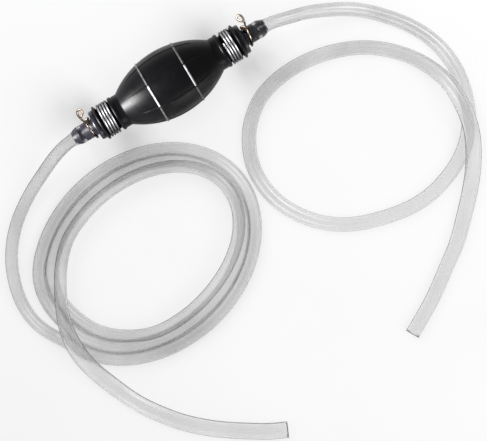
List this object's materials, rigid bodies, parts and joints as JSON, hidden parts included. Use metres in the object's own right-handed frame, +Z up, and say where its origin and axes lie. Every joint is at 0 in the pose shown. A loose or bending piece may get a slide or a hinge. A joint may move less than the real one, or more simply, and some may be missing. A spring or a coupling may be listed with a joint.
{
  "type": "primer-bulb siphon pump with hoses",
  "caption": "Hand-primed aquarium siphon: ribbed rubber squeeze bulb with one-way valves, wire clamps, spring clips and clear inlet and outlet hoses.",
  "frame": {"origin": "on the ground under the middle of the bulb", "axes": "+X along the bulb's axis towards the inlet fitting and the short hose, +Z up, and both hoses lie on the -Y side"},
  "size_m": [0.4034, 0.3167, 0.054],
  "materials": {
    "bulb_rubber": "satin moulded",
    "clamp_wire": "bright drawn wire",
    "fitting_plastic": "moulded, slightly glossy",
    "valve_plastic": "moulded",
    "seal_rubber": "matt",
    "valve_spring_steel": "bright drawn wire",
    "clip_wire": "yellow-passivated zinc on spring wire",
    "clear_hose": "clear flexible, glossy"
  },
  "bodies": {
    "root": {"bulb": "bulb_rubber", "inlet_neck_wire_clamp": "clamp_wire", "outlet_neck_wire_clamp": "clamp_wire", "inlet_fitting": "fitting_plastic", "outlet_fitting": "fitting_plastic", "inlet_valve_spring": "valve_spring_steel", "inlet_spring_retainer": "valve_plastic", "outlet_valve_spring": "valve_spring_steel", "outlet_valve_seat": "valve_plastic", "inlet_hose_clip": "clip_wire", "outlet_hose_clip": "clip_wire", "inlet_hose": "clear_hose", "outlet_hose_lead": "clear_hose", "outlet_hose_coil": "clear_hose", "outlet_hose_tail": "clear_hose"},
    "pressed_wall": {"bulb_squeeze_panel": "bulb_rubber"},
    "inlet_valve": {"inlet_valve_disc": "valve_plastic", "inlet_valve_seal": "seal_rubber"},
    "outlet_valve": {"outlet_valve_disc": "valve_plastic", "outlet_valve_seal": "seal_rubber"},
    "inlet_clip_arm": {"inlet_hose_clip_arm": "clip_wire"},
    "outlet_clip_arm": {"outlet_hose_clip_arm": "clip_wire"}
  },
  "joints": [
    {"name": "bulb_squeeze", "type": "slide", "parent": "root", "child": "pressed_wall", "axis": [0, 0, -1], "range_m": [0, 0.009], "stiffness_N_per_m": 500},
    {"name": "inlet_valve_open", "type": "slide", "parent": "root", "child": "inlet_valve", "axis": [-1, 0, 0], "range_m": [0, 0.002], "stiffness_N_per_m": 15, "deforming": ["inlet_valve_spring"]},
    {"name": "outlet_valve_open", "type": "slide", "parent": "root", "child": "outlet_valve", "axis": [-1, 0, 0], "range_m": [0, 0.002], "stiffness_N_per_m": 15, "deforming": ["outlet_valve_spring"]},
    {"name": "inlet_clip_squeeze", "type": "hinge", "parent": "root", "child": "inlet_clip_arm", "pos_m": [0.0701, -0.00349, 0.01952], "axis": [-1, 0, 0], "range_deg": [0, 10], "stiffness_Nm_per_rad": 0.3},
    {"name": "outlet_clip_squeeze", "type": "hinge", "parent": "root", "child": "outlet_clip_arm", "pos_m": [-0.0701, -0.00349, 0.01952], "axis": [-1, 0, 0], "range_deg": [0, 10], "stiffness_Nm_per_rad": 0.3}
  ]
}
